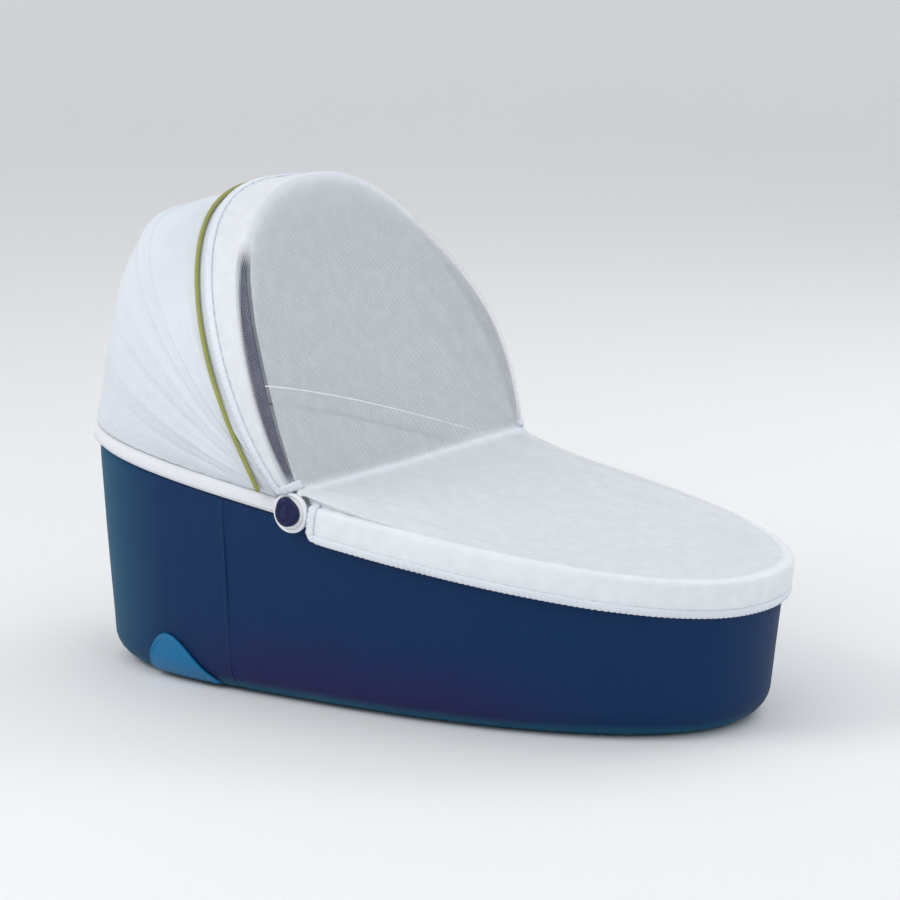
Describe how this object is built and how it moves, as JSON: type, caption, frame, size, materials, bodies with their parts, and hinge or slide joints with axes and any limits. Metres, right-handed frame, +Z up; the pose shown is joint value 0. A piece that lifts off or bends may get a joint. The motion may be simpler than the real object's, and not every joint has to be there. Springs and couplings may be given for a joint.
{
  "type": "pram insect net on a carrycot",
  "caption": "Fine white insect net stretched over the hood opening and the open tub of a pram carrycot, with a gathered elastic hem.",
  "frame": {"origin": "on the ground under the middle of the whole thing", "axes": "+X towards the foot end, +Y towards the right side as seen from the head end, +Z up"},
  "size_m": [0.8181, 0.4686, 0.5442],
  "materials": {
    "net_cloth": "fine sheer white mesh",
    "hood_cloth": "soft matt white cloth",
    "piping_cord": "lime piping",
    "hoop_plastic": "pale grey satin",
    "navy_plastic": "navy satin",
    "white_plastic": "white satin",
    "rim_binding": "padded white binding",
    "tub_cloth": "smooth navy cloth",
    "liner_cloth": "quilted white cotton",
    "blue_plastic": "bright blue satin"
  },
  "bodies": {
    "root": {"net_cover": "net_cloth", "hood_cloth": "hood_cloth", "hood_piping": "piping_cord", "front_hoop": "hoop_plastic", "hood_arm_left": "navy_plastic", "hood_arm_right": "navy_plastic", "hinge_plate_left": "white_plastic", "hinge_plate_right": "white_plastic", "hinge_knob_left": "navy_plastic", "hinge_knob_right": "navy_plastic", "tub_rim": "rim_binding", "tub_shell": "tub_cloth", "tub_liner": "liner_cloth", "side_pad_left": "blue_plastic", "side_pad_right": "blue_plastic"}
  },
  "joints": []
}
